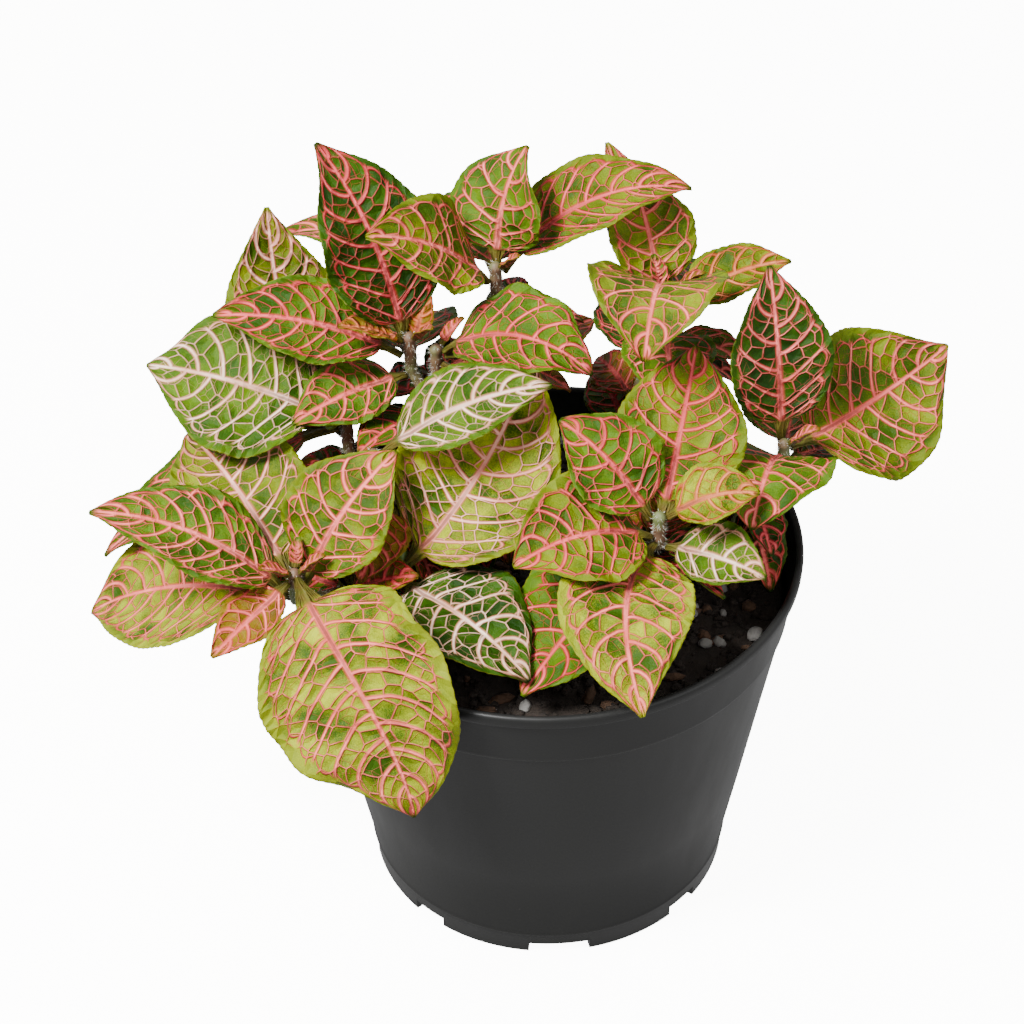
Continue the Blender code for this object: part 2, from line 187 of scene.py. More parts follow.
# Leaf colours: the cells' dark and light green, the veins' core and edge.
GREENS = {
    "deep": ((0.006, 0.028, 0), (0.032, 0.09, 0)),
    "leaf": ((0.016, 0.055, 0), (0.085, 0.165, 0)),
    "olive": ((0.026, 0.062, 0), (0.185, 0.23, 0)),
    "lime": ((0.024, 0.065, 0), (0.36, 0.4, 0.003)),
    "rust": ((0.08, 0.045, 0.001), (0.22, 0.14, 0.002)),
}
VEINS = {
    "pink": ((0.95, 0.2, 0.18), (0.52, 0.045, 0.045)),
    "hot": ((0.85, 0.12, 0.135), (0.42, 0.02, 0.026)),
    "white": ((1.0, 0.76, 0.58), (0.6, 0.23, 0.14)),
    "blush": ((1.0, 0.52, 0.4), (0.58, 0.11, 0.085)),
    "amber": ((0.64, 0.19, 0.08), (0.38, 0.055, 0.014)),
}
DEFAULT_LOOK = ("leaf", "pink", 0.7)

# Leaflets that only the looks have: low on the stems, at most INNER_REACH from
# the pot's axis unless their stem leans out past the rim, and round the tips.
INNER_PER_STEM = 8
INNER_DROP = 13.0
INNER_FLOOR = 100.0
INNER_REACH = 57.0
OUTER_STEMS = ("a", "i")
TIP_LEAFLETS = 3
TIP_TRIES = 40
CURLED_BUDS = (("h", 200), ("i", 30))
INNER_LOOKS = (
    ("deep", "hot", 0.7),
    ("leaf", "hot", 0.6),
    ("rust", "pink", 0.7),
    ("deep", "pink", 0.6),
)


# Stems


def stem_point(name, share):
    """Axis of a stem: upright at both ends and leaning out in between."""
    foot, tip = STEMS[name]
    start = Vector((foot[0], foot[1], SOIL_TOP + SEAT_GAP))
    end = Vector(tip)
    knee = end - Vector((0, 0, STRAIGHT_TOP))
    rise = knee.z - start.z
    bend_low = start + Vector((0, 0, 0.9 * rise + 4.0))
    bend_high = knee - Vector((0, 0, 0.15 * rise))
    if share > 0.7:
        return knee.lerp(end, (share - 0.7) / 0.3)
    t = share / 0.7
    s = 1 - t
    curve = s**3 * start + 3 * s * s * t * bend_low
    return curve + 3 * s * t * t * bend_high + t**3 * knee


def compass(turn):
    """Level unit vector at an angle from +X."""
    return Vector((math.cos(turn), math.sin(turn), 0))


def tube(axis, radii, sides):
    """Closed tube with level rings round a list of axis points."""
    points, faces = [], []
    for centre, radius in zip(axis, radii):
        for i in range(sides):
            points.append(centre + compass(math.tau * i / sides) * radius)
    for low in range(0, (len(axis) - 1) * sides, sides):
        for i in range(sides):
            j = (i + 1) % sides
            faces.append((low + i, low + j, low + sides + j, low + sides + i))
    last = (len(axis) - 1) * sides
    faces.append(tuple(reversed(range(sides))))
    faces.append(tuple(range(last, last + sides)))
    return points, faces


def stem_axis(name):
    return [stem_point(name, i / STEM_STEPS) for i in range(STEM_STEPS + 1)]


def stem_centre(name, z):
    """Axis point of a stem at a height."""
    axis = stem_axis(name)
    for low, high in zip(axis, axis[1:]):
        if low.z <= z <= high.z:
            return low.lerp(high, (z - low.z) / (high.z - low.z))
    return axis[-1]


def stem_shell(name):
    return tube(stem_axis(name), [STEM_RADIUS] * (STEM_STEPS + 1), STEM_SIDES)


# Leaves


def blade_share(share):
    """Place along the blade alone: 0 where the stalk ends, 1 at the tip."""
    return (share - STALK_SHARE) / (1 - STALK_SHARE)


def half_width(share, width):
    """Half the blade's width at a share of the length: stalk, oval, pointed tip."""
    if share <= STALK_SHARE:
        return STALK_HALF_WIDTH
    t = blade_share(share)
    oval = math.sin(math.pi * t**0.74) ** (0.62 + 0.45 * t)
    base = STALK_HALF_WIDTH * (1 - t) + TIP_HALF_WIDTH * t
    return base + (width / 2 - base) * oval


def leaf_frame(heading, elevation, roll):
    """Unit vectors along a leaf, to its left and out of its upper face."""
    side = Vector((-math.sin(heading), math.cos(heading), 0))
    along = compass(heading) * math.cos(elevation)
    along.z = math.sin(elevation)
    up = along.cross(side)
    left = side * math.cos(roll) + up * math.sin(roll)
    return along, left, along.cross(left)


def midrib(start, shape, steps):
    """Points and frames along an arching midrib."""
    heading, rise, droop, roll, sweep = [math.radians(v) for v in shape[1:6]]
    length = shape[6]
    point = Vector(start)
    stations = []
    for i in range(steps + 1):
        share = i / steps
        turn = heading + sweep * share
        twist = roll * min(1.0, 2.5 * share)
        along, left, face = leaf_frame(turn, rise - droop * share, twist)
        stations.append((share, point.copy(), along, left, face))
        halfway = share + 0.5 / steps
        turn = heading + sweep * halfway
        step, _, _ = leaf_frame(turn, rise - droop * halfway, roll)
        point += step * (length / steps)
    return stations


def blade_point(station, across, width, lift):
    """Point of the blade; across runs from -1 to 1, the sides cup upwards."""
    share, point, _, left, face = station
    half = half_width(share, width)
    cup = CUP * half * across * across
    return point + left * (half * across) + face * (cup + lift)


def sheet_border(rows, columns):
    """Row and column of each point round the edge of a sheet of cells."""
    border = [(0, j) for j in range(columns + 1)]
    border += [(i, columns) for i in range(1, rows + 1)]
    border += [(rows, j) for j in range(columns - 1, -1, -1)]
    return border + [(i, 0) for i in range(rows - 1, 0, -1)]


def leaf_shell(start, shape, lift):
    """Closed shell of a leaf whose two faces lie lift to each side of its middle."""
    stations = midrib(start, shape, LEAF_ROWS)
    points = []
    faces = []
    columns = LEAF_COLUMNS + 1
    sheet = len(stations) * columns
    for side in (1, -1):
        for station in stations:
            for i in range(columns):
                across = 2 * i / LEAF_COLUMNS - 1
                points.append(blade_point(station, across, shape[7], side * lift))
    for row in range(LEAF_ROWS):
        for i in range(LEAF_COLUMNS):
            a = row * columns + i
            quad = (a, a + 1, a + columns + 1, a + columns)
            faces.append(quad)
            faces.append(tuple(sheet + v for v in reversed(quad)))
    edge = [row * columns + i for row, i in sheet_border(LEAF_ROWS, LEAF_COLUMNS)]
    for first, second in zip(edge, edge[1:] + edge[:1]):
        faces.append((second, first, sheet + first, sheet + second))
    return points, faces


def leaf_start(shape, rank):
    """Where a leaf's stalk begins, just off its stem; each pair sits lower."""
    tip_height = STEMS[shape[0]][1][2]
    heading = math.radians(shape[1])
    lean = math.sin(math.radians(abs(shape[2])))
    reach = STEM_RADIUS + SEAT_GAP + lean * LEAF_THICKNESS / 2
    offset = compass(heading) * reach
    return stem_centre(shape[0], tip_height - 1.5 - NODE_STEP * rank) + offset


def tree_of(points, faces):
    return BVHTree.FromPolygons(points, faces, epsilon=0.0)


def leaf_tree(start, shape, spare=0.0):
    return tree_of(*leaf_shell(start, shape, LEAF_THICKNESS / 2 + spare))


def clears_pot(points):
    for p in points:
        radius = math.hypot(p.x, p.y)
        if radius < RIM_RADIUS + 1.0 and p.z < SOIL_TOP + 1.0:
            return False
        over_rim = RIM_RADIUS - 3.5 < radius < RIM_RADIUS + 1.0
        if over_rim and p.z < POT_HEIGHT + 1.0:
            return False
    return True


def crosses(tree, others):
    return any(tree.overlap(other) for other in others)


def roomy_shell(start, shape):
    """Shell of a leaf with the clearance it must keep all round."""
    roomy = shape[:6] + [shape[6] + CLEARANCE, shape[7] + 2 * CLEARANCE]
    return leaf_shell(start, roomy, LEAF_THICKNESS / 2 + CLEARANCE)


def find_room(shape, rank, taken, stem_tree, dice):
    """Turn a leaf a little at a time until it touches nothing that has grown."""
    for attempt in range(400):
        spread = attempt / 8
        turned = list(shape)
        if attempt:
            for angle in (1, 2, 4):
                turned[angle] += dice.uniform(-spread, spread)
        start = leaf_start(turned, rank)
        points, faces = roomy_shell(start, turned)
        if not clears_pot(points) or crosses(tree_of(points, faces), taken):
            continue
        if not crosses(leaf_tree(start, turned, 0.05), [stem_tree]):
            return start, turned
    raise RuntimeError(f"no room for a leaf on stem {shape[0]}")


def grow_leaves():
    """Settle every leaf in turn and return its start and shape by name."""
    dice = random.Random(RANDOM_SEED)
    stems = {name: tree_of(*stem_shell(name)) for name in STEMS}
    ranks = {name: 0 for name in STEMS}
    grown = {}
    taken = []
    for name, shape in LEAVES.items():
        stem = shape[0]
        rank = ranks[stem]
        ranks[stem] += 1
        others = taken + [tree for key, tree in stems.items() if key != stem]
        start, settled = find_room(shape[:8], rank, others, stems[stem], dice)
        grown[name] = (start, settled)
        taken.append(leaf_tree(start, settled))
    return grown


# Node helpers


class Graph:
    """Small wrapper that makes shader nodes and joins them."""

    def __init__(self, tree):
        self.tree = tree

    def node(self, kind, inputs=None, **settings):
        made = self.tree.nodes.new(kind)
        for key, value in settings.items():
            setattr(made, key, value)
        for key, value in (inputs or {}).items():
            self.put(made.inputs[key], value)
        return made

    def put(self, socket, value):
        if isinstance(value, bpy.types.NodeSocket):
            self.tree.links.new(value, socket)
        elif isinstance(value, tuple) and len(value) == 3 and socket.type == "RGBA":
            socket.default_value = (*value, 1.0)
        else:
            socket.default_value = value

    def math(self, operation, *values, clamp=False):
        made = self.node("ShaderNodeMath", operation=operation, use_clamp=clamp)
        for socket, value in zip(made.inputs, values):
            self.put(socket, value)
        return made.outputs[0]

    def fold(self, operation, values):
        result = values[0]
        for value in values[1:]:
            result = self.math(operation, result, value)
        return result

    def times(self, *values):
        return self.fold("MULTIPLY", values)

    def added(self, value, factor, base):
        return self.math("MULTIPLY_ADD", value, factor, base)

    def most(self, *values):
        return self.fold("MAXIMUM", values)

    def minus(self, first, second):
        return self.math("SUBTRACT", first, second)

    def ramp(self, value, low, high, start=0.0, end=1.0):
        """Smooth step of a value from low to high."""
        names = ("Value", "From Min", "From Max", "To Min", "To Max")
        given = dict(zip(names, (value, low, high, start, end)))
        kind = "ShaderNodeMapRange"
        return self.node(kind, given, interpolation_type="SMOOTHSTEP").outputs["Result"]

    def line(self, distance, half_width, soft=0.45):
        """1 on a line of a given half width (mm), fading out just outside it."""
        inner = self.times(half_width, 1.0 - soft)
        outer = self.times(half_width, 1.0 + soft)
        return self.ramp(distance, inner, outer, 1.0, 0.0)

    def mix(self, share, first, second):
        made = self.node("ShaderNodeMix", data_type="RGBA")
        self.put(made.inputs[0], share)
        self.put(made.inputs[6], first)
        self.put(made.inputs[7], second)
        return made.outputs[2]

    def noise(self, vector, scale, detail=3.0, roughness=0.55):
        given = {"Scale": scale, "Detail": detail, "Roughness": roughness}
        return self.node("ShaderNodeTexNoise", given | {"Vector": vector}).outputs["Fac"]

    def voronoi(self, vector, scale, feature="F1", randomness=1.0):
        given = {"Scale": scale, "Randomness": randomness, "Vector": vector}
        settings = {"feature": feature, "voronoi_dimensions": "2D"}
        made = self.node("ShaderNodeTexVoronoi", given, **settings)
        return made.outputs["Color" if feature == "F1" else 0]

    def vector(self, x, y, z=0.0):
        made = self.node("ShaderNodeCombineXYZ", {"X": x, "Y": y, "Z": z})
        return made.outputs[0]

    def split(self, vector):
        made = self.node("ShaderNodeSeparateXYZ")
        self.put(made.inputs[0], vector)
        return made.outputs

    def uv(self, name):
        return self.split(self.node("ShaderNodeUVMap", uv_map=name).outputs[0])


class Surface(Graph):
    """A new Principled material and the nodes that feed its shader."""

    def __init__(self, name, roughness=0.5):
        self.material = bpy.data.materials.new(name)
        self.material.use_nodes = True
        super().__init__(self.material.node_tree)
        self.shader = self.tree.nodes["Principled BSDF"].inputs
        self.shader["Roughness"].default_value = roughness

    def place(self):
        return self.node("ShaderNodeTexCoord").outputs["Object"]

    def paint(self, colour):
        self.put(self.shader["Base Color"], colour)

    def bump(self, height, depth, strength=1.0):
        given = {"Height": height, "Distance": depth, "Strength": strength}
        self.put(self.shader["Normal"], self.node("ShaderNodeBump", given).outputs[0])


# Leaf material: a vein pattern drawn in the blade's own coordinates. Vein
# widths are in millimetres.

VEIN_INPUTS = ("Dark", "Light", "Core", "Edge", "Net", "Seed")


def make_vein_group():
    """Node group: colour, height and gloss of a veined blade."""
    group = bpy.data.node_groups.new("veined_blade", "ShaderNodeTree")
    plan = group.interface
    for name in VEIN_INPUTS:
        kind = "Float" if name in ("Net", "Seed") else "Color"
        plan.new_socket(name, in_out="INPUT", socket_type=f"NodeSocket{kind}")
    for name, kind in (("Color", "Color"), ("Height", "Float"), ("Roughness", "Float")):
        plan.new_socket(name, in_out="OUTPUT", socket_type=f"NodeSocket{kind}")
    g = Graph(group)
    given = g.node("NodeGroupInput").outputs
    phase, across, _ = g.uv("net")
    slope, half, _ = g.uv("size")
    along, under, _ = g.uv("place")

    # A flat map of the blade in millimetres, and a wobble that bends its lines.
    flat_x, flat_y, _ = g.uv("flat")
    flat = g.vector(flat_x, flat_y, given["Seed"])
    out = g.math("ABSOLUTE", flat_y)
    wobble = g.minus(g.noise(flat, 0.09, 1.0), 0.5)
    ripple = g.minus(g.noise(flat, 0.6, 1.0), 0.5)
    bent = g.added(wobble, 0.24, phase)
    bent = g.added(ripple, 0.035, bent)
    shifted = g.added(wobble, 0.16, across)

    # Midrib, secondaries, and the loops that join them near the edge.
    taper = g.math("SUBTRACT", 1.0, g.times(along, 0.70), clamp=True)
    rib_width = g.added(taper, 0.62, 0.10)
    rib = g.line(out, rib_width, 0.3)
    to_line = g.math("PINGPONG", g.math("ADD", bent, 100.0), 0.5)
    to_line = g.math("DIVIDE", to_line, slope)
    thin = g.minus(1.0, g.times(across, 0.55))
    side_width = g.times(thin, 0.41)
    side = g.line(to_line, side_width, 0.35)
    arc = g.math("ABSOLUTE", g.math("SINE", g.times(bent, math.pi)))
    loop_at = g.added(arc, 0.11, 0.73)
    past = g.minus(shifted, loop_at)
    side = g.times(side, g.ramp(past, 0.02, 0.10, 1.0, 0.0))
    to_loop = g.times(g.math("ABSOLUTE", past), half)
    open_end, closed_end = g.ramp(along, 0.02, 0.10), g.ramp(along, 0.82, 0.95, 1.0, 0.25)
    loop = g.times(g.line(to_loop, 0.17, 0.5), open_end, closed_end)

    # Rungs that cross from one secondary to the next, and a faint finer net.
    slant = g.added(flat_x, 0.65, g.times(out, 0.65))
    ladder = g.vector(g.added(bent, 1.6, given["Seed"]), g.math("DIVIDE", slant, 3.6))
    near = g.times(g.voronoi(ladder, 1.0, "DISTANCE_TO_EDGE", 0.75), 3.8)
    cross = g.line(near, 0.13, 0.5)
    tight = g.vector(g.added(bent, 2.3, given["Seed"]), g.math("DIVIDE", slant, 2.1))
    fine = g.voronoi(tight, 1.0, "DISTANCE_TO_EDGE", 0.9)
    fine = g.line(g.times(fine, 2.2), 0.07, 0.7)
    body = g.ramp(along, 0.84, 0.97, 1.0, 0.0)
    inside = g.times(g.ramp(past, 0.01, 0.13, 1.0, 0.0), body)
    patchy = g.ramp(g.noise(flat, 0.12, 1.0), 0.42, 0.62)
    worn = g.ramp(g.noise(flat, 0.45, 2.0), 0.30, 0.50, 0.25, 1.0)
    cross = g.times(cross, inside, worn, given["Net"])
    fine = g.times(fine, inside, patchy, 0.30)
    blade = g.times(g.ramp(along, -0.02, 0.03), g.ramp(half, 0.6, 2.2))
    veins = g.times(g.most(rib, side, loop, g.times(cross, 0.9), fine), blade)

    # Red edge just outside the pale core of each vein.
    halo_side = g.times(g.line(to_line, g.times(side_width, 1.35), 0.45), inside)
    halo_rib = g.line(out, g.times(rib_width, 1.4), 0.4)
    halo_loop = g.line(to_loop, 0.30, 0.5)
    halo_cross = g.times(g.line(near, 0.22, 0.6), given["Net"], inside, 0.7)
    halo = g.times(g.most(halo_side, halo_rib, halo_loop, halo_cross), blade, 0.62)

    # Greens: cell by cell, with cloudy patches and a fine grain.
    tone = g.split(g.voronoi(ladder, 1.0, "F1", 0.75))[0]
    cloud = g.noise(flat, 0.10, 3.0)
    grain = g.noise(flat, 3.2, 3.0, 0.7)
    shade = g.added(tone, 0.60, g.times(cloud, 2.4))
    shade = g.added(grain, 1.5, shade)
    shade = g.math("SUBTRACT", shade, 1.88, clamp=True)
    green = g.mix(shade, given["Dark"], given["Light"])
    rim = g.ramp(shifted, 0.82, 0.97)
    rim_green = g.mix(0.45, given["Light"], given["Dark"])
    green = g.mix(g.times(rim, 0.7), green, rim_green)
    edge_line = g.ramp(across, 0.97, 1.0)
    green = g.mix(g.times(edge_line, 0.6), green, (0.17, 0.16, 0.01))

    # Veins are pale inside and redder along their edges and in patches; the
    # old midrib is brown between pale flanks.
    pale_side = g.line(to_line, g.times(side_width, 0.55), 0.6)
    pale_rib = g.line(out, g.times(rib_width, 0.70), 0.4)
    pale = g.most(pale_side, pale_rib, cross)
    blush = g.ramp(g.noise(flat, 0.09, 1.0), 0.35, 0.7, 1.0, 0.35)
    pale = g.times(g.added(pale, 0.75, 0.25), blush)
    core = g.mix(pale, given["Edge"], given["Core"])
    old = g.line(out, g.times(rib_width, 0.6), 0.4)
    old = g.times(old, g.ramp(along, 0.60, 0.10), 0.8)
    core = g.mix(old, core, (0.15, 0.03, 0.022))
    colour = g.mix(halo, green, given["Edge"])
    colour = g.mix(g.times(veins, 0.95), colour, core)
    stalk = g.mix(g.noise(flat, 0.5, 2.0), (0.075, 0.105, 0.008), (0.120, 0.060, 0.016))
    colour = g.mix(g.ramp(along, 0.02, -0.03), colour, stalk)

    # Undersides are duller and browner, with raised veins.
    dull = g.mix(0.60, colour, (0.085, 0.078, 0.018))
    colour = g.mix(under, colour, dull)

    sunk = g.times(g.most(veins, halo), -0.8)
    relief = g.added(under, g.times(sunk, -1.7), sunk)
    puff = g.math("MINIMUM", near, 1.4)
    relief = g.added(puff, 0.55, relief)
    relief = g.added(grain, 0.30, relief)
    gloss = g.added(grain, 0.22, 0.36)
    gloss = g.added(veins, 0.10, gloss)
    g.node("NodeGroupOutput", {"Color": colour, "Height": relief, "Roughness": gloss})
    return group


def leaf_material(name, look, group, seed):
    """Material of one leaf from its look: green, veins and reach of the net."""
    g = Surface(name)
    drawn = g.node("ShaderNodeGroup", node_tree=group)
    values = (*GREENS[look[0]], *VEINS[look[1]], look[2], seed)
    for key, value in zip(VEIN_INPUTS, values):
        g.put(drawn.inputs[key], value)
    g.paint(drawn.outputs["Color"])
    g.put(g.shader["Roughness"], drawn.outputs["Roughness"])
    g.shader["Specular IOR Level"].default_value = 0.14
    g.bump(drawn.outputs["Height"], 0.0006)
    return g.material


# Fine leaf geometry

VEIN_SPACING = 7.2
VEIN_SWEEP = 0.30
SWEEP_POWER = 1.6
SIDE_OFFSET = 0.45
WING = 0.05
TOOTH_DEPTH = 0.28
QUILT_DEPTH = 0.62
GROOVE_DEPTH = 0.55
RIB_DEPTH = 0.75

def fine_rows(length):
    """Shares along a leaf: even on the stalk, closer where the blade opens."""
    stalk_count = 6
    blade_count = max(24, int(length * 1.5))
    stalk = [STALK_SHARE * i / stalk_count for i in range(stalk_count)]
    blade = [(i / blade_count) ** 1.35 for i in range(blade_count + 1)]
    return stalk + [STALK_SHARE + (1 - STALK_SHARE) * t for t in blade]


def fine_midrib(start, shape, shares):
    """Points and frames along the midrib at any list of shares."""
    steps = 400
    even = midrib(start, shape, steps)
    stations = []
    for share in shares:
        place = share * steps
        low = min(int(place), steps - 1)
        rest = place - low
        a, b = even[low], even[low + 1]
        along = a[2].lerp(b[2], rest).normalized()
        left = a[3].lerp(b[3], rest).normalized()
        stations.append((share, a[1].lerp(b[1], rest), left, along.cross(left)))
    return stations


def vein_phase(t, r, count, side):
    """Which secondary a point lies on; whole numbers are on a vein."""
    forward = VEIN_SWEEP * r**SWEEP_POWER * (1.0 - 0.25 * t)
    return count * (t - forward) + (SIDE_OFFSET if side < 0 else 0.0)


def winged_width(share, width):
    """Half width with the blade running down its stalk as a narrow wing."""
    wing = STALK_HALF_WIDTH + WING * width * min(1.0, share / STALK_SHARE) ** 1.5
    return max(half_width(share, width), wing * min(1.0, 4 * (1 - share)))


def fine_points(title, start, shape, shares, columns, count):
    """Points of the upper face, then of the lower face, in millimetres."""
    dice = random.Random(title)
    width = shape[7]
    wave_number = dice.uniform(2.0, 3.5)
    wave_turn = [dice.uniform(0, math.tau) for _ in range(2)]
    wave_depth = dice.uniform(0.020, 0.045) * width
    curl = dice.uniform(-0.05, 0.10) * width
    upper, lower = [], []
    for share, centre, left, face in fine_midrib(start, shape, shares):
        t = max(0.0, blade_share(share))
        half = winged_width(share, width)
        on_blade = min(1.0, t * 12)
        for j in range(columns + 1):
            a = 2 * j / columns - 1
            r = abs(a)
            side = 1 if a >= 0 else -1
            phase = vein_phase(t, r, count, side)
            tooth = abs(math.sin(3 * math.pi * phase))
            edge = 1 - on_blade * r**8 * TOOTH_DEPTH * (1 - tooth) / max(half, 4.0)
            turn = wave_turn[0 if side > 0 else 1]
            wave = math.sin(math.tau * wave_number * t + turn)
            wave *= wave_depth * r**3 * math.sin(math.pi * min(1, t * 1.02)) ** 0.5
            tuck = -curl * max(0.0, r - 0.55) ** 2 * 2
            puff = 0.5 - 0.5 * math.cos(math.tau * phase)
            quilt = QUILT_DEPTH * puff * r**0.5 * (1 - r**3) * min(1.0, half / 9)
            groove = -GROOVE_DEPTH * math.exp(-((r * half / 1.1) ** 2))
            lift = on_blade * (quilt + groove + wave + tuck)
            thick = 0.42 - 0.22 * r**4
            rib = RIB_DEPTH * (1 - t) * math.exp(-((r * half / 0.75) ** 2))
            stalk = (1 - on_blade) * RIB_DEPTH * math.exp(-((r * half / 0.8) ** 2))
            middle = CUP * half * a * a + lift
            base = centre + left * (half * a * edge)
            upper.append(base + face * (middle + thick / 2 + stalk * 0.8))
            lower.append(base + face * (middle - thick / 2 - on_blade * rib - stalk))
    return upper + lower


def fine_faces(rows, columns):
    """Faces of the closed leaf, and the corners, layer and side of each."""
    across = columns + 1
    sheet = rows * across
    faces, corners = [], []
    for layer in (0, 1):
        for i in range(rows - 1):
            for j in range(columns):
                quad = [(i, j), (i, j + 1), (i + 1, j + 1), (i + 1, j)]
                if layer:
                    quad.reverse()
                faces.append([layer * sheet + a * across + b for a, b in quad])
                corners.append((quad, layer, 1 if j >= columns // 2 else -1))
    border = sheet_border(rows - 1, columns)
    for first, second in zip(border, border[1:] + border[:1]):
        a = first[0] * across + first[1]
        b = second[0] * across + second[1]
        faces.append([b, a, sheet + a, sheet + b])
        side = 1 if first[1] + second[1] > columns else -1
        corners.append(([second, first, first, second], 0, side))
    return faces, corners


def vein_maps(shape, shares, columns, count, corners):
    """The blade's own coordinates at each corner, as the vein group reads them."""
    length, width = shape[6], shape[7]
    dt = count / (length * (1 - STALK_SHARE))
    maps = {"net": [], "size": [], "place": [], "flat": []}
    for quad, layer, side in corners:
        for i, j in quad:
            raw = blade_share(shares[i])
            a = 2 * j / columns - 1
            r = abs(a)
            half = winged_width(shares[i], width)
            dr = count * VEIN_SWEEP * SWEEP_POWER * r**0.6 / max(half, 2.0)
            maps["net"].append((vein_phase(max(0.0, raw), r, count, side), r))
            maps["size"].append((math.hypot(dt, dr * 0.9), half))
            maps["place"].append((raw, layer))
            maps["flat"].append((shares[i] * length, half * a))
    return maps


def fine_leaf(title, start, shape, material):
    """High-resolution leaf: quilted blade, crinkled edge and rounded stalk."""
    shares = fine_rows(shape[6])
    columns = max(16, 2 * int(shape[7] * 0.8))
    count = max(4.0, shape[6] / VEIN_SPACING)
    points = fine_points(title, start, shape, shares, columns, count)
    faces, corners = fine_faces(len(shares), columns)
    piece = plain_object(title, points, faces, material)
    maps = vein_maps(shape, shares, columns, count, corners)
    for key, values in maps.items():
        layer = piece.data.uv_layers.new(name=key)
        layer.data.foreach_set("uv", np.asarray(values, dtype=np.float32).ravel())
    return piece


def inner_leaflets(grown):
    """Small leaves low on the stems, where they touch nothing already grown."""
    dice = random.Random(31)
    taken = [leaf_tree(*place) for place in grown.values()]
    found = {}
    for name in STEMS:
        others = [tree_of(*stem_shell(key)) for key in STEMS if key != name]
        for number in range(INNER_PER_STEM):
            placed = inner_leaf(name, number, taken + others, dice)
            if placed:
                found[f"{name}_{number}"] = placed
                taken.append(leaf_tree(*placed))
    return found


def inner_leaf(name, number, taken, dice):
    """One leaflet, tried at seeded turns and sizes until it has room."""
    for attempt in range(160):
        heading = 137.5 * number + dice.uniform(-60, 60)
        length = dice.uniform(18, 32) * (1 - attempt / 400)
        shape = [name, heading, dice.uniform(-5, 45), dice.uniform(20, 70)]
        shape += [dice.uniform(-25, 25), 0, length, length * dice.uniform(0.5, 0.7)]
        top = STEMS[name][1][2] - INNER_DROP
        share = (number + dice.random()) / INNER_PER_STEM
        height = top - share * max(0.0, top - INNER_FLOOR)
        offset = compass(math.radians(heading)) * (STEM_RADIUS + 0.2)
        start = stem_centre(name, height) + offset
        points, faces = roomy_shell(start, shape)
        inside = all(math.hypot(p.x, p.y) < INNER_REACH for p in points)
        free = clears_pot(points) and not crosses(tree_of(points, faces), taken)
        if free and (inside or name in OUTER_STEMS):
            return start, shape
    return None


def tip_leaflets(name, taken, dice):
    """A few scale-like young leaves round the growing tip of a stem."""
    tip = stem_point(name, 1.0)
    found = []
    for _ in range(TIP_TRIES):
        if len(found) == TIP_LEAFLETS:
            break
        heading = 90.0 * len(found) + dice.uniform(-45, 45)
        length = dice.uniform(6.5, 11.0)
        shape = [name, heading, dice.uniform(50, 72), dice.uniform(10, 50)]
        shape += [dice.uniform(-15, 15), 0, length, length * 0.55]
        offset = compass(math.radians(heading)) * STEM_RADIUS
        start = tip + offset - Vector((0, 0, 0.6))
        tree = leaf_tree(start, shape, 0.3)
        if not crosses(tree, taken):
            found.append((start, shape))
            taken.append(tree)
    return found


def curled_bud(name, heading, dice):
    """Points and faces of a round bud on a short neck by the tip of a stem."""
    turn = math.radians(heading)
    out = Vector((math.cos(turn), math.sin(turn), 0.15))
    centre = stem_point(name, 1.0) + out * 4.6
    points, faces = lump(dice, 2.9, 1.0, 3)
    body = [centre + p * 1.15 for p in points]
    foot = stem_point(name, 0.98)
    axis = [foot.lerp(centre, k / 5) for k in range(6)]
    neck, neck_faces = tube(axis, [0.55] * 6, 8)
    faces += [[len(body) + v for v in face] for face in neck_faces]
    return body + neck, faces


def bud_material():
    """Smooth fresh green, a little darker in patches."""
    g = Surface("bud_green", 0.45)
    patch = g.noise(g.place(), 900.0, 2.0)
    fresh = g.mix(patch, (0.045, 0.090, 0.002), (0.130, 0.200, 0.006))
    g.paint(fresh)
    return g.material


def make_buds(grown, group):
    """Young leaves on every tip, and a round curled bud beside some."""
    dice = random.Random(47)
    taken = [leaf_tree(*place, 0.5) for place in grown.values()]
    for name in STEMS:
        for number, place in enumerate(tip_leaflets(name, taken, dice)):
            title = f"scale_{name}_{number}"
            looks = (title, ("leaf" if number % 2 else "rust", "pink", 0.0), 9.0)
            target = (f"stem_{name}", "leaf_young")
            make_leaf(title, place, looks, target, group)
    green = bud_material()
    for name, heading in CURLED_BUDS:
        for step in range(24):
            points, faces = curled_bud(name, heading + 15 * step, dice)
            if not crosses(tree_of(points, faces), taken):
                bud = plain_object(f"bud_{name}", points, faces, green)
                hand_in(bud, f"stem_{name}", "stem_green")
                break


def make_inner_leaves(grown, group):
    for number, (name, place) in enumerate(inner_leaflets(grown).items()):
        look = INNER_LOOKS[number % len(INNER_LOOKS)]
        looks = (name, look, 251.0 + 4.1 * number)
        target = (f"stem_{place[1][0]}", "leaf_dark")
        make_leaf(f"leaflet_{name}", place, looks, target, group)


def make_leaf(title, place, looks, target, group):
    """One veined leaf with its own material, parented to the root in place of its hidden
    CAD node.
    """
    name, look, seed = looks
    material = leaf_material(f"veins_{name}", look, group, seed)
    hand_in(fine_leaf(title, *place, material), *target)


def make_leaves(grown):
    group = make_vein_group()
    make_inner_leaves(grown, group)
    make_buds(grown, group)
    slots = {s["node"]: s["material_slot"] for s in frame["record"]["subparts"]}
    for number, (name, place) in enumerate(grown.items()):
        looks = (name, LEAVES[name][8:] or DEFAULT_LOOK, 3.7 * number)
        target = (f"leaf_{name}", slots[f"leaf_{name}"])
        make_leaf(f"blade_{name}", place, looks, target, group)


def hand_in(piece, node, slot):
    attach(piece, "root")
    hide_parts(node)


# Pot, soil and stems


